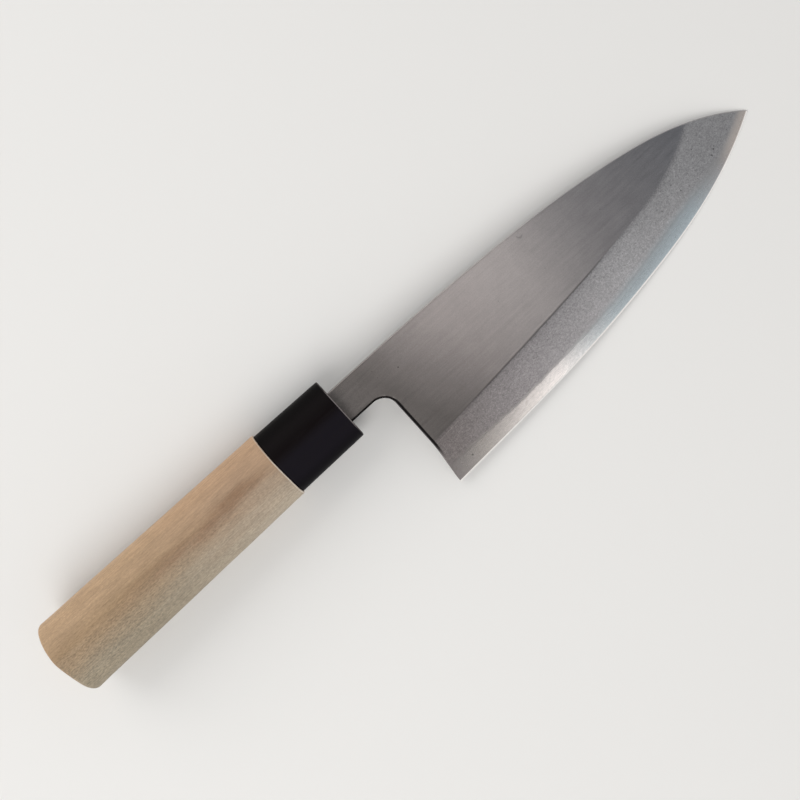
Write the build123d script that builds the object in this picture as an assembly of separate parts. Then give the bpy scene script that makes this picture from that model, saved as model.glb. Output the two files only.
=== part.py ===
from build123d import *
from math import atan, degrees, sqrt
import os

# Deba knife: a thick single-bevel blade with a hard steel layer welded to its back,
# a black collar and a D-section wooden handle. All sizes are in millimetres.
# The pieces are made in the knife's own axes: X to the tip, Y to the spine and Z out
# of the bevelled side, from the middle of the ferrule's front face. They are then laid
# on a table, back side down.

# Outline of the blade
tip_reach = 179.0           # tip, ahead of the ferrule's front face
tip_drop = 19.3             # tip, below the handle's middle line
spine_height = 6.55         # straight part of the spine, above the middle line
spine_run = 22.0            # straight part of the spine, ahead of the ferrule
heel_reach = 13.9
heel_drop = 47.4
choil_reach = 15.35         # upright wall between the neck and the ridge
choil_lean_drop = 30.0      # where that wall starts to lean back to the heel
neck_drop = 5.95            # underside of the neck
neck_corner_radius = 5.9

# Stations along the spine and the edge, as shares of their run and of their fall or rise
spine_shares = [(0.21, 0.0222), (0.47, 0.1010), (0.67, 0.2487), (0.81, 0.4356), (0.92, 0.7010)]
spine_tip_slope_share = 0.76
edge_shares = [(0.20, 0.046), (0.40, 0.125), (0.60, 0.270), (0.76, 0.447), (0.88, 0.665)]

# Thickness of the blade
back_drop = 3.0             # flat back, below the middle plane
neck_thickness = 6.4        # spine at the neck
tip_thickness = 1.6         # the same face carried on to the tip
taper_power = 2.2           # the spine thins slowly at first, then faster
taper_stations = 6
face_fall_share = 0.028     # how fast the upper face comes down from spine to edge
choil_chamfer = 0.65
spine_chamfer = 0.35

# Ridge between the upper face and the bevel, as shares of the tip's reach and the heel's drop.
# The last two stations are beyond the spine, where the bevel alone makes the point.
ridge_shares = [
    (0.085, 0.630), (0.229, 0.592), (0.383, 0.545), (0.523, 0.496), (0.658, 0.430),
    (0.747, 0.368), (0.811, 0.284), (0.871, 0.167), (0.911, 0.061), (0.944, -0.049),
]
bevel_stations = 12
edge_stock = 0.25           # the bevel ends this high above the back
final_edge_width = 0.5      # small second bevel along the edge
final_edge_land = 0.04

# Hard steel layer, and the hollow ground into its back
steel_start = 8.0           # where the layer begins on the neck
steel_scarf = 3.0           # slanted end of the layer there
steel_thickness = 2.15      # at the heel
steel_tip_thickness = 0.9
hollow_start = 11.0
hollow_depth = 0.55
hollow_run_out = 0.04       # depth where the hollow begins and ends
hollow_spine_rim = 2.4      # flat left along the spine
hollow_edge_rim = 1.4       # flat left along the edge
hollow_shares = [(0.05, 0.62), (0.17, 0.94), (0.36, 1.00), (0.58, 0.86), (0.77, 0.55), (0.90, 0.24)]
hollow_end_share = 0.955

# Tang
tang_length = 82.0
tang_root_height = 10.6
tang_root_thickness = 4.8
tang_end_height = 6.0
tang_end_thickness = 2.8
tang_end_round = 0.8

# Ferrule
ferrule_length = 27.85
ferrule_taper = 0.35        # smaller by this much all round at its front
ferrule_wall = 2.3
ferrule_front_wall = 4.0
ferrule_front_chamfer = 0.5
slot_clearance = 0.15

# Handle
handle_length = 92.95       # the wood that shows
handle_step = 0.65          # the wood stands this proud of the ferrule
handle_swell = 1.1          # and grows by this much all round towards the butt
butt_drop = 0.6             # the butt lies this much below the blade's line
butt_round = 1.3
joint_chamfer = 0.3
tenon_clearance = 0.08
tenon_end_gap = 0.2
socket_clearance = 0.12
socket_end_gap = 4.0

# D-section at the ferrule's rear end, measured from the middle line. Every other section of the
# ferrule, the tenon and the handle is this one, grown or shrunk evenly.
section_half = 12.35
section_crest = 10.35
section_back = 9.9
shoulder_radius = 7.8
ridge_radius = 5.0
ridge_offset = 1.8          # ridge, from the middle line to the spine side
near_flank_radius = 14.0    # from the ridge to the spine side
far_flank_radius = 40.0     # from the ridge to the edge side

# How the knife lies on a table
lie_roll = 4.2              # edge side down, in degrees
lie_pitch = 1.7             # point down, in degrees

overrun = 12.0              # how far cutting shapes run past what they cut


def blade_thickness(reach):
    """Thickness at the spine: the neck's, less a power of the way to the tip."""
    share = max(reach, 0) / tip_reach
    return neck_thickness - (neck_thickness - tip_thickness) * share**taper_power


def face_level(reach, height):
    """Z of the upper face, which comes down from the spine towards the edge."""
    return blade_thickness(reach) - back_drop - face_fall_share * (spine_height - height)


def steel_level(reach):
    """Z of the weld plane between the hard steel and the soft iron."""
    share = (reach - heel_reach) / (tip_reach - heel_reach)
    return steel_thickness + (steel_tip_thickness - steel_thickness) * share - back_drop


def point_at_reach(curve, reach):
    """Point of a curve that runs along X, found by halving the interval."""
    low, high = 0.0, 1.0
    for _ in range(40):
        middle = (low + high) / 2
        if (curve @ middle).X < reach:
            low = middle
        else:
            high = middle
    return curve @ low


def spine_curve():
    run = tip_reach - spine_run
    fall = spine_height + tip_drop
    stations = [(spine_run + run * x, spine_height - fall * y) for x, y in spine_shares]
    ends = [(1, 0), (1, -spine_tip_slope_share)]
    return Spline([(spine_run, spine_height), *stations, (tip_reach, -tip_drop)], tangents=ends)


def edge_curve():
    run = tip_reach - heel_reach
    rise = heel_drop - tip_drop
    stations = [(heel_reach + run * x, rise * y - heel_drop) for x, y in edge_shares]
    return Spline([(heel_reach, -heel_drop), *stations, (tip_reach, -tip_drop)])


def ridge_curve():
    return Spline([(tip_reach * x, -heel_drop * y) for x, y in ridge_shares])


def blade_outline():
    """Side view: spine, edge, leaning choil, and the neck as far as it goes into the ferrule."""
    choil_top = (choil_reach, -neck_drop)
    choil_lean = (choil_reach, -choil_lean_drop)
    heel = (heel_reach, -heel_drop)
    neck_end = -ferrule_front_wall
    lines = [
        Line((neck_end, spine_height), (spine_run, spine_height)),
        spine_curve(),
        edge_curve(),
        Spline([heel, choil_lean], tangents=[(0, 1), (0, 1)]),
        Polyline(choil_lean, choil_top, (neck_end, -neck_drop), (neck_end, spine_height)),
    ]
    face = make_face(Curve() + lines)
    return fillet(face.vertices().sort_by_distance(choil_top)[0], neck_corner_radius)


def upper_face(blank):
    """The upper face and the back are the two largest faces."""
    return blank.faces().sort_by(SortBy.AREA)[-2:].sort_by(Axis.Z)[-1]


def blade_blank():
    """The outline at full thickness, cut by an upper face that thins to the point."""
    side = heel_drop + overrun
    reaches = [tip_reach * station / taper_stations for station in range(taper_stations + 1)]
    crown = [(reach, -side, face_level(reach, -side)) for reach in [-overrun, *reaches]]
    low = -back_drop - overrun
    ahead = tip_reach + overrun
    profile = Curve() + [
        Spline(crown),
        Polyline(crown[-1], (ahead, -side, crown[-1][2]), (ahead, -side, low),
                 (-overrun, -side, low), crown[0]),
    ]
    width = side + spine_height + overrun
    under_face = extrude(make_face(profile), amount=width, dir=(0, 1, face_fall_share))
    stock = Pos(Z=-back_drop) * extrude(blade_outline(), amount=neck_thickness + overrun)
    blank = stock & under_face
    rim = upper_face(blank).edges()
    choil = [edge for edge in rim if edge.center().Y < 0
             and -ferrule_front_wall < edge.center().X < choil_reach + choil_chamfer]
    blank = chamfer(choil, choil_chamfer)
    rim = upper_face(blank).edges()
    spine = [edge for edge in rim if edge.center().Y > 0 and edge.center().X > 0]
    return chamfer(spine, spine_chamfer)


def ground_off(rows):
    """Everything above the ruled face through rows of a low and a high point."""
    first, second = rows[0], rows[1]
    last, before = rows[-1], rows[-2]
    start = [near + (near - far).normalized() * overrun for near, far in zip(first, second)]
    end = [near + (near - far).normalized() * overrun for near, far in zip(last, before)]
    low_side, high_side = [], []
    for low, high in [start, *rows, end]:
        along = (high - low).normalized() * overrun
        low_side.append(low - along)
        high_side.append(high + along)
    face = Face.make_surface_from_curves(Spline(low_side), Spline(high_side))
    return extrude(face, amount=neck_thickness + overrun, dir=(0, 0, 1))


def bevel_rows():
    """Points on the edge and the ridge, paired along the blade."""
    edge, ridge = edge_curve(), ridge_curve()
    rows = []
    for station in range(bevel_stations + 1):
        share = station / bevel_stations
        low = edge @ share
        high = ridge @ share
        low.Z = edge_stock - back_drop
        high.Z = face_level(high.X, high.Y)
        rows.append((low, high))
    return rows


def final_edge_rows():
    """The same stations, from the edge itself to a line on the bevel close beside it."""
    rows = []
    for low, high in bevel_rows():
        inner = low + (high - low).normalized() * final_edge_width
        land = Vector(low.X, low.Y, final_edge_land - back_drop)
        rows.append((land, inner))
    return rows


def back_hollow():
    """Shallow dish in the back: arcs from rim to rim, deepest before the middle of the blade."""
    spine, edge = spine_curve(), edge_curve()
    reach_run = tip_reach - heel_reach
    stations = [(heel_reach + reach_run * x, hollow_depth * y) for x, y in hollow_shares]
    end = (tip_reach * hollow_end_share, hollow_run_out)
    faces = []
    for reach, depth in [(hollow_start, hollow_run_out), *stations, end]:
        top = spine_height if reach < spine_run else point_at_reach(spine, reach).Y
        bottom = point_at_reach(edge, reach).Y
        top -= hollow_spine_rim
        bottom += hollow_edge_rim
        low = -back_drop - overrun
        crown = (reach, (top + bottom) / 2, depth - back_drop)
        left, right = (reach, bottom, -back_drop), (reach, top, -back_drop)
        arc = ThreePointArc(left, crown, right)
        faces.append(make_face(Curve() + [
            arc, Polyline(right, (reach, top, low), (reach, bottom, low), left),
        ]))
    return loft(faces)


def steel_zone():
    """Space of the hard steel layer: under the weld plane, from its slanted end to past the tip."""
    scarf_end = steel_start + steel_scarf
    ahead = tip_reach + overrun
    low = -back_drop - overrun
    corners = [(steel_start, low), (steel_start, -back_drop), (scarf_end, steel_level(scarf_end)),
               (ahead, steel_level(ahead)), (ahead, low)]
    side = Plane.XZ * make_face(Polyline(corners, close=True))
    return extrude(side, amount=heel_drop + overrun, both=True)


def tang_block(clearance, start, end):
    """Tapered tang between two reaches, or the socket for it with a clearance."""
    middle = (spine_height - neck_drop) / 2
    root = -ferrule_front_wall
    faces = []
    for reach in (start, end):
        share = (root - reach) / (tang_length + root)
        height = tang_root_height + (tang_end_height - tang_root_height) * share + 2 * clearance
        thickness = tang_root_thickness + (tang_end_thickness - tang_root_thickness) * share
        at = Plane(origin=(reach, middle * (1 - share), 0), x_dir=(0, 1, 0), z_dir=(1, 0, 0))
        faces.append(at * Rectangle(height, thickness + 2 * clearance))
    return loft(faces, ruled=True)


def blade():
    """The soft iron body with its tang, and the hard steel layer on its back."""
    whole = blade_blank() - ground_off(bevel_rows()) - ground_off(final_edge_rows()) - back_hollow()
    zone = steel_zone()
    steel = whole & zone
    tang = tang_block(0, -ferrule_front_wall, -tang_length)
    end_edges = tang.faces().sort_by(Axis.X)[0].edges()
    body = (whole - zone) + fillet(end_edges, tang_end_round)
    return body, steel


def wrapping_centre(first, first_radius, second, second_radius, radius):
    """Centre of the arc that touches two smaller circles from outside, right of the way between."""
    apart = (second - first).length
    along = (second - first).normalized()
    from_first, from_second = radius - first_radius, radius - second_radius
    ahead = (from_first**2 - from_second**2 + apart**2) / (2 * apart)
    aside = sqrt(from_first**2 - ahead**2)
    return first + along * ahead + Vector(along.Y, -along.X) * aside


def d_section(reach, growth):
    """Section at a reach: six tangent arcs round a belly, two shoulders, two flanks and a ridge."""
    half, crest, back = section_half + growth, section_crest + growth, section_back + growth
    shoulder, ridge = shoulder_radius + growth, ridge_radius + growth
    near_flank, far_flank = near_flank_radius + growth, far_flank_radius + growth
    belly = ((half - shoulder)**2 + back**2 - shoulder**2) / (2 * (back - shoulder))
    belly_at, ridge_at = Vector(0, belly - back), Vector(ridge_offset, crest - ridge)
    near_at, far_at = Vector(half - shoulder, 0), Vector(shoulder - half, 0)
    near_flank_at = wrapping_centre(ridge_at, ridge, near_at, shoulder, near_flank)
    far_flank_at = wrapping_centre(far_at, shoulder, ridge_at, ridge, far_flank)
    circles = [
        (far_at, shoulder, belly_at, belly), (belly_at, belly, near_at, shoulder),
        (near_at, shoulder, near_flank_at, near_flank), (near_flank_at, near_flank, ridge_at, ridge),
        (ridge_at, ridge, far_flank_at, far_flank), (far_flank_at, far_flank, far_at, shoulder),
    ]
    # Two tangent circles touch on the line through their centres, outside the smaller one
    joints = []
    for one, one_radius, other, other_radius in circles:
        outward = (one - other) if one_radius < other_radius else (other - one)
        joints.append(one + outward.normalized() * one_radius)
    arcs = []
    for number, (_, _, centre, radius) in enumerate(circles):
        start, end = joints[number], joints[(number + 1) % len(circles)]
        middle = centre + ((start + end) / 2 - centre).normalized() * radius
        arcs.append(ThreePointArc(start, middle, end))
    at = Plane(origin=(reach, 0, 0), x_dir=(0, 1, 0), z_dir=(1, 0, 0))
    return at * make_face(Curve() + arcs)


def tenon(clearance, start, end):
    """Straight D-section between two reaches, a wall inside the ferrule's front, less a clearance."""
    return extrude(d_section(start, -ferrule_taper - ferrule_wall - clearance), amount=end - start)


def ferrule():
    """Black collar: a tapered cup with a pocket for the tenon and a slot for the neck."""
    cup = loft([d_section(-ferrule_length, 0), d_section(0, -ferrule_taper)], ruled=True)
    cup = chamfer(cup.faces().sort_by(Axis.X)[-1].edges(), ferrule_front_chamfer)
    cup -= tenon(0, -ferrule_length - overrun, -ferrule_front_wall)
    height = spine_height + neck_drop + 2 * slot_clearance
    at = Pos(0, (spine_height - neck_drop) / 2, neck_thickness / 2 - back_drop)
    return cup - at * Box(overrun, height, neck_thickness + 2 * slot_clearance)


def handle():
    """One piece of wood with its tenon and the socket that the tang is driven into."""
    joint = -ferrule_length
    front_growth = handle_step - handle_swell * overrun / handle_length
    rear = d_section(joint - handle_length, handle_step + handle_swell)
    grip = loft([rear, d_section(joint + overrun, front_growth)], ruled=True)
    grip = fillet(grip.faces().sort_by(Axis.X)[0].edges(), butt_round)
    droop = Rot(Z=degrees(atan(butt_drop / handle_length)))
    grip = Pos(joint) * droop * Pos(-joint) * grip
    grip = split(grip, bisect_by=Plane.YZ.offset(joint), keep=Keep.BOTTOM)
    grip = chamfer(grip.faces().sort_by(Axis.X)[-1].edges(), joint_chamfer)
    grip += tenon(tenon_clearance, joint, -ferrule_front_wall - tenon_end_gap)
    return grip - tang_block(socket_clearance, -ferrule_front_wall, -tang_length - socket_end_gap)


body, steel = blade()
pieces = {"blade_body": body, "cutting_steel": steel, "ferrule": ferrule(), "handle": handle()}

# Laid down: turned edge side down, then point down, with the lowest point at zero
turn = Rot(Y=lie_pitch) * Rot(X=lie_roll)
laid = {name: turn * piece for name, piece in pieces.items()}
box = Compound(laid.values()).bounding_box()
middle = box.center()
shift = Pos(-middle.X, -middle.Y, -box.min.Z)

os.makedirs("parts", exist_ok=True)
for name, piece in laid.items():
    placed = shift * piece
    export_step(placed, f"parts/{name}.step")
    size = placed.bounding_box().size
    print(f"{name}: {piece.volume / 1000:.2f} cm3, {size.X:.1f} x {size.Y:.1f} x {size.Z:.1f} mm")
print(f"knife: {box.size.X:.1f} x {box.size.Y:.1f} x {box.size.Z:.1f} mm, {shift.position}")
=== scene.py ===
import math
import bpy
import numpy as np
from mathutils import Matrix, Vector


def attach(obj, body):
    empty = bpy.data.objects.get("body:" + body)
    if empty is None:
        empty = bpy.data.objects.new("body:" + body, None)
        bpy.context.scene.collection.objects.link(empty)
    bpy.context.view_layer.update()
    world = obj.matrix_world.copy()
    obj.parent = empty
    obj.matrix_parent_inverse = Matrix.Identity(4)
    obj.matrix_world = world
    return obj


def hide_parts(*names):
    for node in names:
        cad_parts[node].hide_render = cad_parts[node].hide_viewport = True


# Deba knife lying on its back side on a pale floor. The CAD pieces give the places and sizes,
# and finer surfaces of the same shape stand for them here. Shapes are worked out in millimetres
# in the knife's own axes: X to the tip, Y to the spine and Z out of the bevelled side, from the
# middle of the collar's front face. Then they are laid down as the CAD pieces are.

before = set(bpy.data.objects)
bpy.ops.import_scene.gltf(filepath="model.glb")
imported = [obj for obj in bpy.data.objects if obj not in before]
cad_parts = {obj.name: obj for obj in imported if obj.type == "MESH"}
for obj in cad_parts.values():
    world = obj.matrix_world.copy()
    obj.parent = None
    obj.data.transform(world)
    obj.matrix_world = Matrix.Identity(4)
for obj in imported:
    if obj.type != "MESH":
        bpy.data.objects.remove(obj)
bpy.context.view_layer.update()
print("frame loaded", sorted(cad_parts))

scene = bpy.context.scene
milli = 0.001

knifeLie = {
    "roll": 4.2,  # degrees, edge side down
    "pitch": 1.7,  # degrees, point down
    "origin": (-28.867, 16.787, 9.818),  # the knife's own origin in the frame, mm
}
laidTurn = Matrix.Rotation(math.radians(knifeLie["pitch"]), 3, "Y") @ \
    Matrix.Rotation(math.radians(knifeLie["roll"]), 3, "X")


def layDown(points):
    # turned and moved from the knife's own axes into the frame, and from mm to metres
    turned = points @ np.array(laidTurn).T + np.array(knifeLie["origin"])
    return turned * milli


# Meshes from arrays

mergeGap = 0.002  # points as near as this fall together, mm
sharpAngle = 32  # faces that turn by more meet in a sharp edge, degrees


def buildPiece(name, points, quads, values, replaced):
    # Points that fall together are merged, quads that lose a side become triangles, and
    # the whole is turned so that its faces point outwards
    keys = np.round(points / mergeGap).astype(np.int64)
    _, first, place = np.unique(keys, axis=0, return_index=True, return_inverse=True)
    corners = place.reshape(-1)[quads]
    same = corners == np.roll(corners, -1, axis=1)
    full, once = corners[~same.any(axis=1)], same.sum(axis=1) == 1
    threes = corners[once][~same[once]].reshape(-1, 3)
    crossed = (full[:, 0] == full[:, 2]) | (full[:, 1] == full[:, 3])
    full = full[~crossed]
    placed = layDown(points[first])
    fan = np.concatenate([full[:, [0, 1, 2]], full[:, [0, 2, 3]], threes])
    a, b, c = placed[fan[:, 0]], placed[fan[:, 1]], placed[fan[:, 2]]
    if np.einsum("ij,ij->", a, np.cross(b, c)) < 0:
        full, threes = full[:, ::-1], threes[:, ::-1]
    mesh = bpy.data.meshes.new(name)
    mesh.from_pydata(placed.tolist(), [], full.tolist() + threes.tolist(), shade_flat=False)
    mesh.validate()
    for label, numbers in values.items():
        layer = mesh.attributes.new(label, "FLOAT", "POINT")
        layer.data.foreach_set("value", numbers[first].astype(np.float32))
    mesh.set_sharp_from_angle(angle=math.radians(sharpAngle))
    piece = bpy.data.objects.new(name, mesh)
    scene.collection.objects.link(piece)
    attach(piece, "root")
    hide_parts(replaced)
    print(name, len(placed), "points", len(fan), "triangles")
    return piece


def strip(grid, mask=None):
    # quads of a grid of point numbers, wound so that they face up when rows run towards -Y
    cells = np.stack([grid[:-1, :-1], grid[:-1, 1:], grid[1:, 1:], grid[1:, :-1]], axis=-1)
    if mask is not None:
        return cells[mask]
    return cells.reshape(-1, 4)


# Curves

def cubicSlopes(knots, values, ends=(None, None)):
    # second derivatives of the cubic spline; a free end carries on its neighbour's cubic
    count, h = len(knots), np.diff(knots)
    matrix, right = np.zeros((count, count)), np.zeros(count)
    rise = np.diff(values) / h
    for i in range(1, count - 1):
        matrix[i, i - 1:i + 2] = h[i - 1], 2 * (h[i - 1] + h[i]), h[i]
        right[i] = 6 * (rise[i] - rise[i - 1])
    if ends[0] is None:
        matrix[0, :3] = h[1], -(h[0] + h[1]), h[0]
    else:
        matrix[0, :2], right[0] = (2 * h[0], h[0]), 6 * (rise[0] - ends[0])
    if ends[1] is None:
        matrix[-1, -3:] = h[-1], -(h[-1] + h[-2]), h[-2]
    else:
        matrix[-1, -2:], right[-1] = (h[-1], 2 * h[-1]), 6 * (ends[1] - rise[-1])
    return np.linalg.solve(matrix, right)


def cubicAt(knots, values, bends, at):
    # the spline between two knots: a straight mix of their values plus a cubic of their bends
    span = np.clip(np.searchsorted(knots, at) - 1, 0, len(knots) - 2)
    h = knots[span + 1] - knots[span]
    a, b = (knots[span + 1] - at) / h, (at - knots[span]) / h
    curve = (a**3 - a) * bends[span] + (b**3 - b) * bends[span + 1]
    return a * values[span] + b * values[span + 1] + curve * h**2 / 6


def curveThrough(points, tangents=(None, None)):
    # smooth curve through points, by the share of the way along their chords
    points = np.array(points, float)
    way = np.concatenate([[0], np.cumsum(np.linalg.norm(np.diff(points, axis=0), axis=1))])
    total, knots = way[-1], way / way[-1]
    parts = []
    for axis in range(2):
        ends = [None if t is None else t[axis] / np.hypot(*t) * total for t in tangents]
        parts.append((points[:, axis], cubicSlopes(knots, points[:, axis], ends)))
    return lambda share: np.stack([cubicAt(knots, v, b, share) for v, b in parts], axis=-1)


def heightAlong(curve, samples=900):
    # the same curve as Y for a given X
    line = curve(np.linspace(0, 1, samples))
    return lambda x: np.interp(x, line[:, 0], line[:, 1])


def ease(value, low, high):
    # from 0 to 1 as the value goes from low to high, slow at both ends
    share = np.clip((value - low) / (high - low), 0, 1)
    return share * share * (3 - 2 * share)


# Blade

blade = {
    "tipReach": 179.0, "tipDrop": 19.3,
    "spineHeight": 6.55, "spineRun": 22.0,
    "heelReach": 13.9, "heelDrop": 47.4,
    "choilReach": 15.35, "choilLeanDrop": 30.0,
    "neckDrop": 5.95, "neckCorner": 5.9, "neckBack": 4.0,
    "spineShares": [(0.21, 0.0222), (0.47, 0.1010), (0.67, 0.2487), (0.81, 0.4356), (0.92, 0.7010)],
    "spineTipSlope": 0.76,
    "edgeShares": [(0.20, 0.046), (0.40, 0.125), (0.60, 0.270), (0.76, 0.447), (0.88, 0.665)],
    "ridgeShares": [(0.085, 0.630), (0.229, 0.592), (0.383, 0.545), (0.523, 0.496), (0.658, 0.430),
                    (0.747, 0.368), (0.811, 0.284), (0.871, 0.167), (0.911, 0.061), (0.944, -0.049)],
    "weldPlaces": [(13.0, -39.6), (28.0, -40.3), (50.0, -40.45), (70.0, -39.3), (95.0, -37.2),
                   (120.0, -32.9), (142.0, -28.6), (160.0, -25.2), (170.0, -21.2), (177.0, -16.5)],
    "weldWander": 0.22, "weldWaves": (31, 13, 7.3, 4.1),  # how uneven it is, and its waves, mm
    "backDrop": 3.0, "neckThickness": 6.4, "tipThickness": 1.6, "taperPower": 2.2,
    "faceFall": 0.028,
    "choilChamfer": 0.65, "spineArris": 0.35, "backArris": 0.12, "ridgeSoftness": 0.03,
    "edgeStock": 0.25, "edgeWidth": 0.5, "edgeLand": 0.04,
    "scarfStart": 8.0, "scarfEnd": 11.0,
    "hollowDepth": 0.55, "spineRim": 2.4, "edgeRim": 1.4,
    "hollowPlaces": [(11.0, 0.07), (22.2, 0.62), (42.0, 0.94), (73.3, 1.0), (109.6, 0.86),
                     (141.0, 0.55), (162.5, 0.24), (170.9, 0.07)],
    "tangLength": 82.0, "tangRoot": (10.6, 4.8), "tangEnd": (6.0, 2.8), "tangRings": (60.0, 30.0),
    # columns of the mesh: in the neck before and after the scarf's start, round the inner
    # corner, at set gaps in front of the choil, and then evenly along the blade, mm
    "neckColumns": (14, 5), "cornerColumns": 17,
    "choilColumns": (0, 0.12, 0.28, 0.46, 0.65, 1.0, 1.5), "columnStep": 0.55, "choilStraighten": 30,
    # rows beside the spine, the choil's corner and the ridge, mm
    "spineRows": (0.08, 0.2), "choilRows": (0.42, 0.2), "ridgeRows": 0.12,
    # slow waves that hand grinding leaves: height and lengths, and where they fade in from the
    # edge and choil and from the spine, mm
    "grindWander": 0.012, "grindWaves": [(23, 37, 54), (9, 14)], "grindFades": [(1, 5), (0.5, 4)],
}


def bladeCurves():
    # outlines of the plan: smooth curves through places given as shares of the blade's size
    b = blade
    run, fall = b["tipReach"] - b["spineRun"], b["spineHeight"] + b["tipDrop"]
    places = [(b["spineRun"] + run * x, b["spineHeight"] - fall * y) for x, y in b["spineShares"]]
    tip = (b["tipReach"], -b["tipDrop"])
    spine = curveThrough([(b["spineRun"], b["spineHeight"]), *places, tip],
                         ((1, 0), (1, -b["spineTipSlope"])))
    run, rise = b["tipReach"] - b["heelReach"], b["heelDrop"] - b["tipDrop"]
    places = [(b["heelReach"] + run * x, rise * y - b["heelDrop"]) for x, y in b["edgeShares"]]
    edge = curveThrough([(b["heelReach"], -b["heelDrop"]), *places, tip])
    ridge = curveThrough([(b["tipReach"] * x, -b["heelDrop"] * y) for x, y in b["ridgeShares"]])
    return spine, edge, ridge


spineCurve, edgeCurve, ridgeCurve = bladeCurves()
spineTail, edgeAt, ridgeAt = [heightAlong(curve) for curve in (spineCurve, edgeCurve, ridgeCurve)]
neckMiddle = (blade["spineHeight"] - blade["neckDrop"]) / 2
cornerX = blade["choilReach"] - blade["neckCorner"]  # centre of the inner corner's arc
cornerY = -blade["neckDrop"] - blade["neckCorner"]


def spineAt(x):
    # the spine: level over the neck, then down its curve to the tip
    return np.where(x < blade["spineRun"], blade["spineHeight"], spineTail(x))


def choilAt(y):
    # the choil wall: upright, then eased back to the heel
    lean = blade["heelDrop"] - blade["choilLeanDrop"]
    down = np.clip((-y - blade["choilLeanDrop"]) / lean, 0, 1)
    return blade["choilReach"] + (blade["heelReach"] - blade["choilReach"]) * ease(down, 0, 1)


def wander(x, seed, waves):
    # mean of a few slow waves with set lengths and with phases drawn from the seed
    draw = np.random.default_rng(seed)
    return sum(np.sin(x * 2 * np.pi / wave + draw.uniform(0, 2 * np.pi)) for wave in waves) / len(waves)


def weldAt(x):
    # the weld line: a smooth curve through its places, a little uneven
    line = heightAlong(curveThrough(blade["weldPlaces"]))(x)
    return line + blade["weldWander"] * wander(x, 3, blade["weldWaves"])


def thickness(x):
    # the spine's thickness falls from the neck to the tip by a power of the reach
    share = np.clip(x / blade["tipReach"], 0, None)
    thin = blade["neckThickness"] - blade["tipThickness"]
    return blade["neckThickness"] - thin * share**blade["taperPower"]


def faceLevel(x, y):
    # upper face: the spine's thickness, falling evenly towards the edge
    return thickness(x) - blade["backDrop"] - blade["faceFall"] * (blade["spineHeight"] - y)


def bevelLevel(x, y):
    # bevel: straight rules from the edge to the ridge at like shares of the two curves.
    # The rule through each point is found by halving, and the height runs evenly along it.
    low, high = np.zeros_like(x), np.ones_like(x)
    for _ in range(22):
        share = (low + high) / 2
        foot, head = edgeCurve(share), ridgeCurve(share)
        along = head - foot
        side = along[..., 0] * (y - foot[..., 1]) - along[..., 1] * (x - foot[..., 0])
        low, high = np.where(side < 0, share, low), np.where(side < 0, high, share)
    foot, head = edgeCurve(share), ridgeCurve(share)
    along = head - foot
    reach = ((x - foot[..., 0]) * along[..., 0] + (y - foot[..., 1]) * along[..., 1])
    reach = reach / (along**2).sum(axis=-1)
    floor = blade["edgeStock"] - blade["backDrop"]
    return floor + (faceLevel(head[..., 0], head[..., 1]) - floor) * reach


def softLeast(a, b, width):
    # the lower of two heights, rounded where they cross
    share = np.clip(0.5 + 0.5 * (b - a) / width, 0, 1)
    return b + (a - b) * share - width * share * (1 - share)


def roundedArris(gap, radius):
    # how far a rounded corner lies below its flat, at a distance from the outline
    inside = np.clip(radius - gap, 0, radius)
    return radius - np.sqrt(radius**2 - inside**2)


def steepness(heightAt, x):
    # how much longer a curve is than its reach, from its heights half a millimetre either side
    return np.sqrt(1 + (heightAt(x + 0.5) - heightAt(x - 0.5))**2)


def outlineGaps(x, y):
    # distances from the spine, from the neck's underside and choil, and from the edge
    fromSpine = (spineAt(x) - y) / steepness(spineAt, x)
    fromEdge = (y - edgeAt(x)) / steepness(edgeAt, x)
    fromCorner = np.hypot(x - cornerX, y - cornerY) - blade["neckCorner"]
    fromChoil = np.where(x < cornerX, y + blade["neckDrop"], fromCorner)
    fromChoil = np.where(y < cornerY, x - choilAt(y), fromChoil)
    return [np.clip(gap, 0, None) for gap in (fromSpine, fromChoil, fromEdge)]


def topLevel(x, y):
    # upper side: the lower of the face and the bevel, with a rounded spine, a chamfered choil
    # and a small second bevel along the edge; slow waves in the bevel fade near the outline
    fromSpine, fromChoil, fromEdge = outlineGaps(x, y)
    face = faceLevel(x, y) - roundedArris(fromSpine, blade["spineArris"])
    face = face - np.clip(blade["choilChamfer"] - fromChoil, 0, None)
    bevel = bevelLevel(x, y)
    offEdge, offSpine = blade["grindFades"]
    depth = ease(fromEdge, *offEdge) * ease(fromSpine, *offSpine) * ease(fromChoil, *offEdge)
    long, short = blade["grindWaves"]
    waves = wander(x * 0.93 + y * 0.35, 11, long) + wander(y - x * 0.2, 12, short)
    bevel = bevel + blade["grindWander"] * waves * depth
    level = softLeast(face, bevel, blade["ridgeSoftness"])
    low = blade["edgeLand"] - blade["backDrop"]
    inner = bevelLevel(x, edgeAt(x) + blade["edgeWidth"])
    keen = low + (inner - low) * fromEdge / blade["edgeWidth"]
    return np.where(fromEdge < 2 * blade["edgeWidth"], np.minimum(level, keen), level)


def backLevel(x, y):
    # flat back with a shallow dish: across the blade an arc from rim to rim
    b = blade
    places = np.array(b["hollowPlaces"])
    depth = b["hollowDepth"] * heightAlong(curveThrough(places))(x)
    depth = np.where((x < places[0, 0]) | (x > places[-1, 0]), 0, depth)
    top, bottom = spineAt(x) - b["spineRim"], edgeAt(np.maximum(x, b["heelReach"])) + b["edgeRim"]
    middle, half = (top + bottom) / 2, np.clip((top - bottom) / 2, 0.5, None)
    dish = depth * np.clip(1 - ((y - middle) / half)**2, 0, None)
    fromSpine, fromChoil, _ = outlineGaps(x, y)
    arris = roundedArris(np.minimum(fromSpine, fromChoil), b["backArris"])
    return dish - b["backDrop"] + arris * (x > b["scarfStart"] - b["neckBack"])


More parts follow.
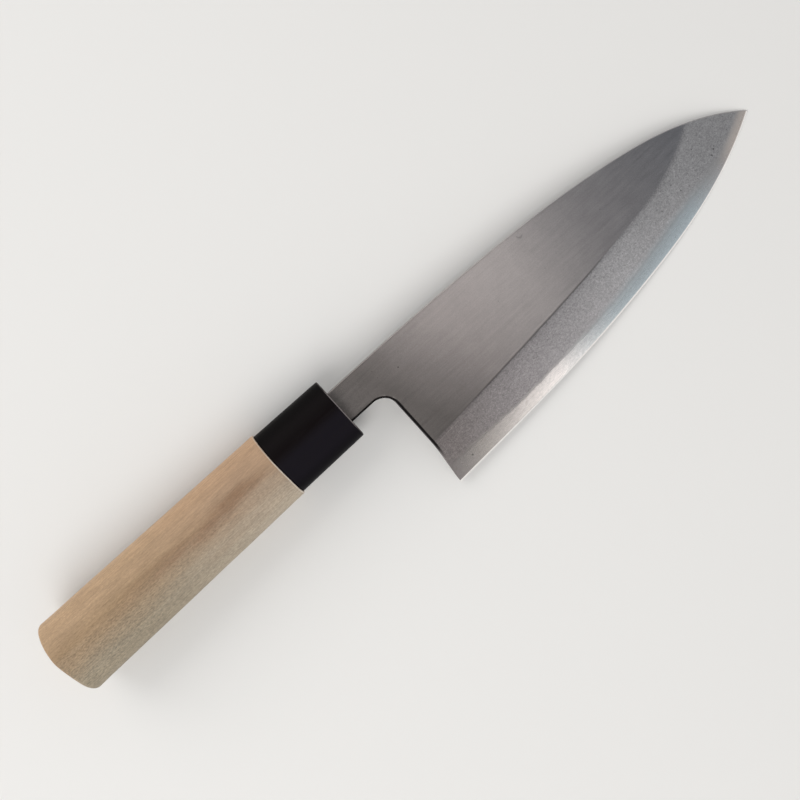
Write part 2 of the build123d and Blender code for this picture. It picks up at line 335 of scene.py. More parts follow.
def bladeColumns():
    # columns of the plan: along the neck, round its inner corner by angle, then along the blade
    b = blade
    back, front = b["neckColumns"]
    neck = np.concatenate([np.linspace(-b["neckBack"], b["scarfStart"], back),
                           np.linspace(b["scarfStart"], cornerX, front)[1:]])
    turn = cornerX + b["neckCorner"] * np.sin(np.linspace(0, np.pi / 2, b["cornerColumns"])[1:])
    near = b["choilReach"] + np.array(b["choilColumns"])
    count = int((b["tipReach"] - near[-1]) / b["columnStep"])
    far = np.linspace(near[-1], b["tipReach"], count)[1:]
    return np.concatenate([neck, turn]), np.concatenate([near, far])


def fillRows(guides, counts):
    # rows between neighbouring guide lines, evenly spaced in each band
    rows = [guides[0][:, None]]
    for upper, lower, count in zip(guides[:-1], guides[1:], counts):
        share = np.arange(1, count + 1) / count
        rows.append(upper[:, None] + (lower - upper)[:, None] * share)
    return np.concatenate(rows, axis=1)


upperCounts = [1, 1, 1, 4, 26, 1, 1, 1]  # spine arris, spine rim, face, chamfer of the choil
lowerCounts = [34, 1, 16, 6, 3, 3]  # face, ridge, bevel, edge rim, keen edge
cornerRow, weldRow = sum(upperCounts), sum(upperCounts) + sum(lowerCounts[:3])
lastRow = cornerRow + sum(lowerCounts)


def upperGuides(spine, corner):
    # guide lines from the spine to the choil's corner, each kept between its neighbours
    b = blade
    rim = np.maximum(spine - b["spineRim"], corner)
    arris = [np.maximum(spine - gap, rim) for gap in (*b["spineRows"], b["spineArris"])]
    band = [np.minimum(corner + gap, rim) for gap in (b["choilChamfer"], *b["choilRows"])]
    return [spine, *arris, rim, *band, corner]


def pastRidge(x):
    # true past the place where the ridge has run out at the spine
    return (ridgeAt(x) > spineAt(x)) | (x > blade["tipReach"] * blade["ridgeShares"][-1][0])


def bladePlan():
    # plan of the blade as columns of rows that run from the spine to the edge. In the neck
    # the rows end at its underside, so the rest of each column is folded into that point.
    b = blade
    neck, body = bladeColumns()
    sideways = np.clip(neck - cornerX, 0, b["neckCorner"])
    under = cornerY + np.sqrt(b["neckCorner"]**2 - sideways**2)
    y = fillRows(upperGuides(spineAt(neck), under), upperCounts)
    neckY = np.concatenate([y, np.repeat(y[:, -1:], lastRow - cornerRow, axis=1)], axis=1)
    neckX = np.repeat(neck[:, None], lastRow + 1, axis=1)
    share = (b["spineHeight"] - cornerY) / (b["spineHeight"] - ridgeAt(b["choilReach"]))
    fade = 1 - ease(body, b["choilReach"], b["choilReach"] + b["choilStraighten"])
    x = np.repeat(body[:, None], lastRow + 1, axis=1)
    for _ in range(4):
        columns = []
        for number in range(lastRow + 1):
            at = x[:, number]
            spine, edge = spineAt(at), edgeAt(at)
            ridge = np.clip(ridgeAt(at), edge, spine)
            ridge = np.where(pastRidge(at), spine, ridge)
            weld = np.clip(weldAt(at), edge, ridge)
            corner = spine + share * (ridge - spine)
            above = np.minimum(ridge + b["ridgeRows"], corner)
            below = np.maximum(ridge - b["ridgeRows"], weld)
            rim = np.clip(edge + b["edgeRim"], edge, weld)
            keen = np.clip(edge + b["edgeWidth"], edge, rim)
            guides = upperGuides(spine, corner)[:-1] + [corner, above, below, weld, rim, keen, edge]
            columns.append(fillRows(guides, upperCounts + lowerCounts)[:, number])
        y = np.stack(columns, axis=1)
        x = body[:, None] + (choilAt(y) - b["choilReach"]) * fade[:, None]
    return np.concatenate([neckX, x]), np.concatenate([neckY, y]), len(neck)


def shellOf(x, y, top, bottom, neckCount, rows):
    # a closed shell: an upper and a lower sheet over the same plan, and a wall round its outline
    count = x.size
    grid = np.arange(count).reshape(x.shape)
    cells = np.ones((len(x) - 1, rows), bool)
    cells[:neckCount, cornerRow:] = False
    upper = strip(grid[:, :rows + 1], cells)
    lower = strip(grid[:, :rows + 1] + count, cells)[:, ::-1]
    chain = np.concatenate([
        grid[::-1, 0], grid[0, 1:cornerRow + 1], grid[1:neckCount, cornerRow],
        grid[neckCount, cornerRow:rows + 1], grid[neckCount + 1:, rows],
    ])
    a, c = chain[:-1], chain[1:]
    wall = np.stack([c, a, a + count, c + count], axis=-1)
    points = np.concatenate([np.stack([x, y, z], axis=-1).reshape(-1, 3) for z in (top, bottom)])
    return points, np.concatenate([upper, lower, wall])


def bladeValues(points):
    # distances that the steel's finish follows, in mm, and from the outline up to 60
    x, y = points[:, 0], points[:, 1]
    gaps = zip(("fromSpine", "fromChoil", "fromEdge"), np.minimum(outlineGaps(x, y), 60))
    return {**dict(gaps), "overRidge": y - ridgeAt(x), "overWeld": y - weldAt(x)}


def tangAt(reach):
    # middle, height and thickness of the tang, shrinking evenly to its end
    share = (-blade["neckBack"] - reach) / (blade["tangLength"] - blade["neckBack"])
    height, thick = [root + (end - root) * share
                     for root, end in zip(blade["tangRoot"], blade["tangEnd"])]
    return neckMiddle * (1 - share), height, thick


def makeBlade():
    b = blade
    x, y, neckCount = bladePlan()
    top = topLevel(x, y)
    weld = top[:, weldRow].copy()
    weld[:neckCount] = weld[neckCount]
    scarf = np.clip((x[:, 0] - b["scarfStart"]) / (b["scarfEnd"] - b["scarfStart"]), 0, 1)
    weld = (weld + b["backDrop"]) * scarf - b["backDrop"]
    layer = np.repeat(weld[:, None], lastRow + 1, axis=1)

    # soft iron body: down to the weld, with the tang as more columns behind the neck
    ironX, ironY = x[:, :weldRow + 1], y[:, :weldRow + 1]
    ironTop, ironBottom = top[:, :weldRow + 1], layer[:, :weldRow + 1]
    reaches = -np.array([b["tangLength"], *b["tangRings"], b["neckBack"]])
    middle, height, thick = tangAt(reaches)
    rows = (ironY[0] - neckMiddle) / (b["spineHeight"] - neckMiddle)
    tangY = middle[:, None] + rows * height[:, None] / 2
    tangX = np.repeat(reaches[:, None], weldRow + 1, axis=1)
    tangZ = np.repeat(thick[:, None] / 2, weldRow + 1, axis=1)
    points, quads = shellOf(
        np.concatenate([tangX, ironX]), np.concatenate([tangY, ironY]),
        np.concatenate([tangZ, ironTop]), np.concatenate([-tangZ, ironBottom]),
        neckCount + len(reaches), weldRow)
    iron = buildPiece("bladeIron", points, quads, bladeValues(points), "blade_body")

    # hard steel layer: under the weld plane, out at the bevel, hollow at the back
    start = np.argmin(np.abs(x[:, 0] - b["scarfStart"]))
    bottom = backLevel(x, y)
    steelTop = np.where(np.arange(lastRow + 1) <= weldRow, layer, top)
    steelTop[:neckCount, cornerRow:] = steelTop[:neckCount, cornerRow:cornerRow + 1]
    bottom[x < b["scarfStart"] + 0.01] = -b["backDrop"]
    points, quads = shellOf(x[start:], y[start:], steelTop[start:], bottom[start:],
                            neckCount - start, lastRow)
    steel = buildPiece("bladeSteel", points, quads, bladeValues(points), "cutting_steel")
    return iron, steel


bladeIron, bladeSteel = makeBlade()

# D-section of the collar and the wood

section = {
    # half the D's size from edge side to spine side, its height to the crest and depth to the
    # back, the radii of its arcs, and how far the ridge stands off the middle, mm
    "half": 12.35, "crest": 10.35, "back": 9.9,
    "shoulder": 7.8, "ridge": 5.0, "nearFlank": 14.0, "farFlank": 40.0, "ridgeOffset": 1.8,
    "pointStep": 0.34,  # between the points of a ring, mm
}


def wrappingCentre(first, firstRadius, second, secondRadius, radius):
    # centre of the arc that wraps two smaller circles, right of the way from one to the other
    gap = second - first
    apart = np.hypot(*gap)
    along = gap / apart
    one, two = radius - firstRadius, radius - secondRadius
    ahead = (one**2 - two**2 + apart**2) / (2 * apart)
    aside = math.sqrt(one**2 - ahead**2)
    return first + along * ahead + np.array([along[1], -along[0]]) * aside


def sectionArcs():
    # six tangent arcs; a point is its arc's centre plus the radius in the normal's direction,
    # so a section that is grown evenly keeps every centre and direction
    s = section
    belly = ((s["half"] - s["shoulder"])**2 + s["back"]**2 - s["shoulder"]**2)
    belly = belly / (2 * (s["back"] - s["shoulder"]))
    bellyAt = np.array([0, belly - s["back"]])
    crestAt = np.array([s["ridgeOffset"], s["crest"] - s["ridge"]])
    near, far = np.array([s["half"] - s["shoulder"], 0]), np.array([s["shoulder"] - s["half"], 0])
    nearFlank = wrappingCentre(crestAt, s["ridge"], near, s["shoulder"], s["nearFlank"])
    farFlank = wrappingCentre(far, s["shoulder"], crestAt, s["ridge"], s["farFlank"])
    arcs = [(near, s["shoulder"]), (nearFlank, s["nearFlank"]), (crestAt, s["ridge"]),
            (farFlank, s["farFlank"]), (far, s["shoulder"]), (bellyAt, belly)]
    joints = []
    for (one, oneRadius), (two, twoRadius) in zip(arcs, arcs[1:] + arcs[:1]):
        way = one - two if oneRadius < twoRadius else two - one
        joints.append(math.atan2(way[1], way[0]))
    starts = np.unwrap(np.array(joints[-1:] + joints[:-1]))
    ends = np.append(starts[1:], starts[0] + 2 * np.pi)
    centres, radii, angles = [], [], []
    for (centre, radius), start, end in zip(arcs, starts, ends):
        count = max(8, int(radius * (end - start) / s["pointStep"]))
        angles.append(np.linspace(start, end, count, endpoint=False))
        centres.append(np.repeat([centre], count, axis=0))
        radii.append(np.full(count, radius))
    return np.concatenate(centres), np.concatenate(radii), np.concatenate(angles)


ringCentres, ringRadii, ringAngles = sectionArcs()
ringNormals = np.stack([np.cos(ringAngles), np.sin(ringAngles)], axis=-1)
ringCount = len(ringAngles)


def dRing(reach, growth, drop=0.0, scale=1.0):
    # ring of the D-section at a reach, grown evenly, and drawn in towards the middle by scale
    flat = (ringCentres + (ringRadii + growth)[:, None] * ringNormals) * scale
    return np.column_stack([np.full(ringCount, reach), flat[:, 0] - drop, flat[:, 1]])


def boxRing(reach, middle, halfHeight, halfThick, centreZ=0.0):
    # ring on a rectangle, at the places where the D-section's own directions meet it
    flat = ringCentres + ringRadii[:, None] * ringNormals
    way = np.arctan2(flat[:, 1], flat[:, 0])
    cut = np.maximum(np.abs(np.cos(way)) / halfHeight, np.abs(np.sin(way)) / halfThick)
    y, z = middle + np.cos(way) / cut, centreZ + np.sin(way) / cut
    return np.column_stack([np.full(ringCount, reach), y, z])


def ringShell(rings, looped):
    # quads between rings; an open row of rings is closed by a point in the middle of each end
    if not looped:
        ends = [np.repeat(rings[k].mean(axis=0)[None], ringCount, axis=0) for k in (0, -1)]
        rings = [ends[0], *rings, ends[1]]
    points = np.concatenate(rings)
    grid = np.arange(len(points)).reshape(len(rings), ringCount)
    grid = np.concatenate([grid, grid[:, :1]], axis=1)
    if looped:
        grid = np.concatenate([grid, grid[:1]])
    return points, strip(grid)


# Collar

collar = {
    "length": 27.85, "taper": 0.35, "wall": 2.3, "frontWall": 4.0, "frontChamfer": 0.5,
    "rearArris": 0.12, "frontRim": 0.4, "slotClearance": 0.15,
}


def makeCollar():
    # rings from the rear along the outside to the front, in through the slot, and back along
    # the pocket
    c, b = collar, blade
    rear, front, arris = -c["length"], -c["taper"], c["rearArris"]
    rings = [dRing(rear + arris * along, -arris * inward)
             for along, inward in ((0, 1), (0.3, 0.3), (1, 0))]
    for share in np.linspace(0, 1, 26)[1:-1]:
        rings.append(dRing(rear * (1 - share), front * share))
    bevel = c["frontChamfer"]
    for turn in np.radians([0, 12, 30, 45, 60, 78, 90]):
        rings.append(dRing(-bevel * (1 - np.sin(turn)), front - bevel * (1 - np.cos(turn))))
    rings.append(dRing(0, front - bevel - c["frontRim"]))
    halfHeight = (b["spineHeight"] + b["neckDrop"]) / 2 + c["slotClearance"]
    halfThick = b["neckThickness"] / 2 + c["slotClearance"]
    lift = b["neckThickness"] / 2 - b["backDrop"]
    slot = [boxRing(reach, neckMiddle, halfHeight, halfThick, lift)
            for reach in (0, -0.15, -c["frontWall"])]
    for share in (0.35, 0.7, 0.93):
        rings.append(rings[-1] + (slot[0] - rings[-1]) * share)
    rings += slot + [dRing(reach, front - c["wall"]) for reach in np.linspace(-c["frontWall"], rear, 5)]
    points, quads = ringShell(rings, True)
    ridgeGap = points[:, 1] - section["ridgeOffset"]
    return buildPiece("collarShell", points, quads, {"ridgeGap": ridgeGap}, "ferrule")


collarShell = makeCollar()

# Wooden handle

wood = {
    "length": 92.95, "step": 0.65, "swell": 1.1, "buttDrop": 0.6, "buttRound": 1.3,
    "jointChamfer": 0.3, "tenonClearance": 0.08, "tenonEnd": 4.2,
    "socketClearance": 0.12, "socketEnd": 86.0,
    # rings: shares of the butt's flat end, and a step along the grip, mm
    "buttRings": (0.05, 0.15, 0.27, 0.4, 0.53, 0.65, 0.76, 0.86, 0.93, 0.975), "ringStep": 0.5,
    "handWander": 0.04, "handWaves": [(38, 61), (27, 45)],  # unevenness of a hand-planed grip, mm
}


def gripRing(reach, growth, scale=1.0):
    # ring of the grip: its middle drops evenly towards the butt, and slow waves, which fade at
    # both ends, take a little off its surface
    w = wood
    away = -collar["length"] - reach
    drop = w["buttDrop"] * away / w["length"]
    wave = wander(reach + 9 * ringNormals[:, 0], 21, w["handWaves"][0])
    wave = wave + wander(7 * ringNormals[:, 1] - reach, 22, w["handWaves"][1])
    fade = ease(np.minimum(away, w["length"] - away), 0.5, 6)
    return dRing(reach, growth + w["handWander"] * (wave - 2) / 2 * fade, drop, scale)


def makeGrip():
    # rings from the middle of the butt along the outside to the joint, then along the tenon,
    # in at its front, and back along the socket to its end
    w, c = wood, collar
    joint = -c["length"]
    butt, growth = joint - w["length"], w["step"] + w["swell"]
    rings = [gripRing(butt, growth - w["buttRound"], scale) for scale in w["buttRings"]]
    for turn in np.linspace(0, np.pi / 2, 8):
        reach = butt + w["buttRound"] * (1 - np.cos(turn))
        rings.append(gripRing(reach, growth - w["buttRound"] * (1 - np.sin(turn))))
    run = w["length"] - w["buttRound"] - w["jointChamfer"]
    for share in np.linspace(0, 1, int(run / w["ringStep"]))[1:]:
        reach = butt + w["buttRound"] + run * share
        rings.append(gripRing(reach, growth - w["swell"] * (reach - butt) / w["length"]))
    bevel = w["jointChamfer"]
    for turn in np.radians([25, 50, 70, 90]):
        rings.append(gripRing(joint - bevel * (1 - np.sin(turn)), w["step"] - bevel * (1 - np.cos(turn))))
    tenon, spare = -c["taper"] - c["wall"] - w["tenonClearance"], w["socketClearance"]
    rings += [dRing(reach, tenon) for reach in np.linspace(joint, -w["tenonEnd"], 5)]
    for reach in (-w["tenonEnd"], -w["socketEnd"]):
        middle, height, thick = tangAt(reach)
        rings.append(boxRing(reach, middle, height / 2 + spare, thick / 2 + spare))
    points, quads = ringShell(rings, False)
    away = joint - points[:, 0]
    ridgeGap = points[:, 1] - section["ridgeOffset"] + w["buttDrop"] * away / w["length"]
    values = {"ridgeGap": ridgeGap, "fromJoint": np.clip(away, 0, None)}
    return buildPiece("woodGrip", points, quads, values, "handle")


woodGrip = makeGrip()

# Materials: helpers

def feed(socket, value):
    # links a wire to a socket, or writes a plain number, vector or colour there
    if isinstance(value, Wire):
        socket.id_data.links.new(value.socket, socket)
    elif socket.type == "RGBA":
        socket.default_value = (*value, 1)
    else:
        socket.default_value = value


def addNode(tree, kind, output, inputs=(), **settings):
    # a node with its settings and inputs, by name or number; one output comes back as a wire
    node = tree.nodes.new(kind)
    for key, value in settings.items():
        setattr(node, key, value)
    for key, value in dict(inputs).items():
        feed(node.inputs[key], value)
    return Wire(node.outputs[output])


class Wire:
    # what comes out of a node; signs between a wire and a wire or a number make Math nodes
    def __init__(self, socket):
        self.socket, self.tree = socket, socket.id_data

    def maths(self, kind, *others):
        return addNode(self.tree, "ShaderNodeMath", 0, enumerate((self, *others)), operation=kind)

    def __add__(self, other):
        return self.maths("ADD", other)

    def __sub__(self, other):
        return self.maths("SUBTRACT", other)

    def __mul__(self, other):
        return self.maths("MULTIPLY", other)

    def __truediv__(self, other):
        return self.maths("DIVIDE", other)

    def __abs__(self):
        return self.maths("ABSOLUTE")

    def orMore(self, other):
        return self.maths("MAXIMUM", other)

    def remap(self, low, high, start=0.0, end=1.0, kind="SMOOTHSTEP"):
        # from start to end as the value goes from low to high, slow at both ends
        limits = {"From Min": low, "From Max": high, "To Min": start, "To Max": end}
        return addNode(self.tree, "ShaderNodeMapRange", "Result", {"Value": self, **limits},
                       interpolation_type=kind)

    def even(self, low, high, start=0.0, end=1.0):
        # the same at an even pace
        return self.remap(low, high, start, end, "LINEAR")


def vectorMaths(kind, output, first, *others):
    inputs = enumerate((first, *others))
    return addNode(first.tree, "ShaderNodeVectorMath", output, inputs, operation=kind)


def ramp(value, stops):
    colour = addNode(value.tree, "ShaderNodeValToRGB", "Color", {"Fac": value})
    elements = colour.socket.node.color_ramp.elements
    while len(elements) < len(stops):
        elements.new(0.5)
    for element, (position, shown) in zip(elements, stops):
        element.position, element.color = position, (*shown, 1)
    return colour


def mix(share, first, second):
    # mix of two colours; the numbers are those sockets of the Mix node that hold colours
    return addNode(share.tree, "ShaderNodeMix", 2, {0: share, 6: first, 7: second}, data_type="RGBA")


def mixNumbers(share, first, second):
    return addNode(share.tree, "ShaderNodeMix", 0, {0: share, 2: first, 3: second})


def shade(colour, *amounts):
    # a colour made darker or lighter by the product of some factors
    total = amounts[0]
    for amount in amounts[1:]:
        total = total * amount
    return addNode(colour.tree, "ShaderNodeVectorMath", "Vector", {0: colour, "Scale": total},
                   operation="SCALE")


def noise(vector, scale, detail, roughness, distortion=0.0):
    return addNode(vector.tree, "ShaderNodeTexNoise", "Fac", {
        "Vector": vector, "Scale": scale, "Detail": detail, "Roughness": roughness,
        "Distortion": distortion})


def stretched(vector, scale, turn=(0, 0, 0), move=(0, 0, 0)):
    return addNode(vector.tree, "ShaderNodeMapping", "Vector", {
        "Vector": vector, "Scale": scale, "Rotation": [math.radians(a) for a in turn], "Location": move})


def attribute(tree, name):
    return addNode(tree, "ShaderNodeAttribute", "Fac", attribute_name=name)


def apart(vector, axis):
    return addNode(vector.tree, "ShaderNodeSeparateXYZ", axis, {"Vector": vector})


def knifeAxes(tree):
    # the knife's own axes in millimetres, from Object coordinates; a Mapping node scales
    # first, then turns and moves
    turn = np.array(laidTurn).T
    return addNode(tree, "ShaderNodeMapping", "Vector", {
        "Vector": addNode(tree, "ShaderNodeTexCoord", "Object"), "Scale": (1 / milli,) * 3,
        "Rotation": Matrix(turn.tolist()).to_euler("XYZ"),
        "Location": -turn @ np.array(knifeLie["origin"])})


def facing(tree, axis):
    # how far the surface faces along one of the knife's own axes, from -1 to 1
    normal = addNode(tree, "ShaderNodeTexCoord", "Normal")
    return vectorMaths("DOT_PRODUCT", "Value", normal, laidTurn.col[axis])


def newMaterial(name):
    material = bpy.data.materials.new(name)
    material.use_nodes = True
    tree = material.node_tree
    return material, tree, tree.nodes["Principled BSDF"]


def finishSurface(shader, colour, roughness, height, strength, depth):
    # puts colour, roughness and a fine relief, whose depth is in metres, on the shader
    bump = {"Height": height, "Strength": strength, "Distance": depth}
    feed(shader.inputs["Base Color"], colour)
    feed(shader.inputs["Roughness"], roughness)
    feed(shader.inputs["Normal"], addNode(height.tree, "ShaderNodeBump", "Normal", bump))


def newGroup(name, output, **inputs):
    # a node group with one output; an input whose value has three numbers is a vector
    group = bpy.data.node_groups.new(name, "ShaderNodeTree")
    for label, value in inputs.items():
        kind = "NodeSocketVector" if isinstance(value, tuple) else "NodeSocketFloat"
        group.interface.new_socket(label, in_out="INPUT", socket_type=kind).default_value = value
    group.interface.new_socket(output, in_out="OUTPUT", socket_type="NodeSocketFloat")
    given, result = group.nodes.new("NodeGroupInput"), group.nodes.new("NodeGroupOutput")
    return group, [Wire(given.outputs[label]) for label in inputs], result.inputs[output]


def useGroup(group, **inputs):
    return addNode(inputs["Vector"].tree, "ShaderNodeGroup", 0, inputs, node_tree=group)


# Shared effects

noiseSpan = (0.25, 0.75)  # where a noise's values mostly lie
noiseCore = (0.3, 0.7)


def makeFineLines():
    # fine grinding lines along one direction: two stretched noises, the finer one over the wider
    group, (vector, width), result = newGroup("fineLines", "Lines", Vector=(0, 0, 0), Width=0.1)
    scaled = vectorMaths("DIVIDE", "Vector", vector, width)
    total = noise(scaled, 1.0, 4.0, 0.6) * 0.55 + noise(scaled, 0.23, 3.0, 0.55) * 0.45
    feed(result, total.even(0.33, 0.67))
    return group


def makeSpecks():
    # small round marks scattered at random: near a cell's middle, in cells kept by chance
    group, (vector, spacing, size, amount), result = newGroup(
        "specks", "Mask", Vector=(0, 0, 0), Spacing=3.0, Size=0.1, Amount=0.5)
    scaled = vectorMaths("DIVIDE", "Vector", vector, spacing)
    away = addNode(group, "ShaderNodeTexVoronoi", "Distance", {"Vector": scaled, "Scale": 1.0})
    drawn = Wire(away.socket.node.outputs["Color"])
    chance = addNode(group, "ShaderNodeSeparateColor", "Red", {"Color": drawn})
    feed(result, away.maths("LESS_THAN", size) * chance.maths("LESS_THAN", amount))
    return group


def makeSpot():
    # soft ragged spot of a given size at a given place of the plan: near its middle, plus a noise
    group, (vector, middle, size), result = newGroup(
        "spot", "Mask", Vector=(0, 0, 0), Middle=(0, 0, 0), Size=0.3)
    flat = vectorMaths("MULTIPLY", "Vector", vector, (1, 1, 0))
    away = vectorMaths("DISTANCE", "Value", flat, middle)
    feed(result, (away / size + noise(flat, 4.0, 2.0, 0.6) * 0.9).remap(1.6, 1.1))
    return group


fineLines, specks, spot = makeFineLines(), makeSpecks(), makeSpot()
print("node groups made")


def drawnLines(vector, stretch, slant, width):
    return useGroup(fineLines, Vector=stretched(vector, (stretch, 1, 1), (0, 0, slant)), Width=width)


# Steel

steelLook = {
    "reachSpan": (-4, 179),  # the stops are shares of this reach, mm
    # the face, bevel and band stops hold the steel's tone together with painted reflection along the blade
    "faceToneAndReflectionStops": [(0.10, (0.21, 0.19, 0.18)), (0.25, (0.42, 0.38, 0.37)), (0.44, (0.53, 0.49, 0.48)),
                  (0.60, (0.39, 0.37, 0.375)), (0.86, (0.28, 0.28, 0.30))],
    "bevelToneAndReflectionStops": [(0.14, (0.24, 0.215, 0.21)), (0.32, (0.37, 0.345, 0.35)), (0.60, (0.48, 0.47, 0.48)),
                   (0.85, (0.385, 0.38, 0.39))],
    "bandToneAndReflectionStops": [(0.10, (0.33, 0.30, 0.29)), (0.18, (0.50, 0.46, 0.43)), (0.38, (0.79, 0.75, 0.73)),
                  (0.54, (0.67, 0.73, 0.76)), (0.78, (0.66, 0.73, 0.77)), (0.90, (0.66, 0.62, 0.61))],
    # painted highlight colours for the keen edge and the spine's arris, and a painted reflection colour for
    # the tip's edge
    "keen": (0.98, 0.95, 0.935), "tipPaintedReflection": (0.86, 0.76, 0.69), "spineHighlight": (0.56, 0.53, 0.52),
    "back": (0.52, 0.505, 0.50), "backLine": (0.3, 0.29, 0.285), "backLineShare": 0.3,
    "scale": (0.012, 0.0105, 0.011),
    # drawn lines: stretch, slant in degrees, and width
    "faceLines": (0.035, 3, 0.28), "bevelLines": (0.06, 52, 0.28), "backLines": (0.015, -1, 0.2),
    # noises: scale per mm, detail, roughness and distortion
    "cloud": (0.16, 4.0, 0.6), "mottle": (1.35, 4.0, 0.78, 0.9), "grain": (3.0, 2.0, 0.7, 0.6),
    "blotch": (0.9, 3.0, 0.6), "swell": (0.3, 2.0, 0.5),
    # shades at a pattern's low and high
    "faceByLines": (0.91, 1.09), "faceByCloud": (1.03, 0.97), "faceByGrain": (0.88, 1.12),
    "bevelByMottle": (0.60, 1.40), "bevelByGrain": (0.70, 1.30), "bevelByLines": (1.07, 0.93),
    "bandByBlotch": (1.04, 0.96), "bandByGrain": (0.96, 1.04), "backShades": (1.12, 0.84),
    "pitShade": 0.42, "dentSideShade": 0.7,
    "upperSide": (-0.9, -0.75),  # how far the surface faces up, everywhere but on the back
    # fades: from and to, along the reach or away from a line, in mm, and the values there
    # painted shade and reflection: face and bevel darker towards the ridge, bevel under the ridge, band
    # lighter away from the weld
    "faceReflectionByRidge": (0, 30, 0.93, 1.03), "bevelShadeByRidge": (0, -11, -0.09, 0.11), "ridgeEnd": (160, 130),
    "shadeUnderRidge": (0, -2.4, 0.86, 1), "scuffed": (16, 4, 0, 0.7), "bandReflectionByWeld": (0, -5, 0.87, 1.13),
    "bandBorders": [(60, 110, 0.5, 2.6), (36, 16, 0.5, 1.6)], "bandStart": (9, 21, 0.25, 1),
    "bandWaves": 1.3, "bandRaggedness": 0.9, "bevelBorder": (0.12, -0.12), "turnOver": (95, 150, 0.15, 1.9),
    # painted reflection: the lean of the face's dark corner; painted highlight: the width of the keen edge
    "darkReflectionLean": 0.4, "darkReflectionEnd": (66, 38), "keenHighlightWidth": (0.66, 0.46),
    # painted reflection along the tip's edge, and painted highlight on the spine's arris
    "tipReflectionWidth": (4.8, 0.6), "tipReflectionReach": (156, 168, 0, 0.85),
    "spineHighlightWidth": (0.5, 0.15), "spineHighlightReach": (70, 150, 0, 0.5),
    "rims": [(2.4, 3.6), (2.4, 3.6), (1.6, 2.8)],  # of the back's hollow, from edge, choil and spine
    "scaleAndShadeWidth": (0.95, 0.6), "scaleRaggedness": 0.2, "scaleEnd": (-8, -1),
    # painted lines beside the ridge: offset, outer and inner half width, reaches where it comes and goes,
    # and shade; a painted shade line on it, a faint painted highlight above it, and a painted highlight
    # below near the choil
    "ridgeShadeAndHighlights": [(0.05, 0.48, 0.12, [(26, 46), (108, 94)], 0.56),
                   (0.85, 0.40, 0.10, [(46, 60), (96, 84)], 1.07),
                   (-1.15, 0.34, 0.10, [(34, 20)], 1.22)],
    # pits and the dent in the plan, each with its size, and where the dent is filled up again, mm
    "pits": [(23.05, -42.94, 0.40), (23.6, -2.7, 0.30), (159.6, -21.1, 0.36), (160.3, -20.3, 0.24),
             (157.7, -22.4, 0.38), (163.7, -20.8, 0.17), (168.1, -19.3, 0.16), (152.7, -15.8, 0.24),
             (138.5, -20.2, 0.24), (140.4, -24.0, 0.28), (130.1, -24.9, 0.24)],
    "dent": (84.6, 2.8, 1.25), "dentFill": (0.25, 0.6),
    "specks": {"Spacing": 4.0, "Size": 0.045, "Amount": 0.24}, "speckShare": 0.6,
    "faceRoughness": (0.30, 0.40), "bevelRoughness": (0.42, 0.52), "bandRoughness": (0.245, 0.265),
    "scaleRoughness": 0.6,
    "lineRelief": 0.5, "grainRelief": 0.8, "bandRelief": 0.04, "reliefStrength": 0.12,
    "reliefDepth": 0.00004,
}


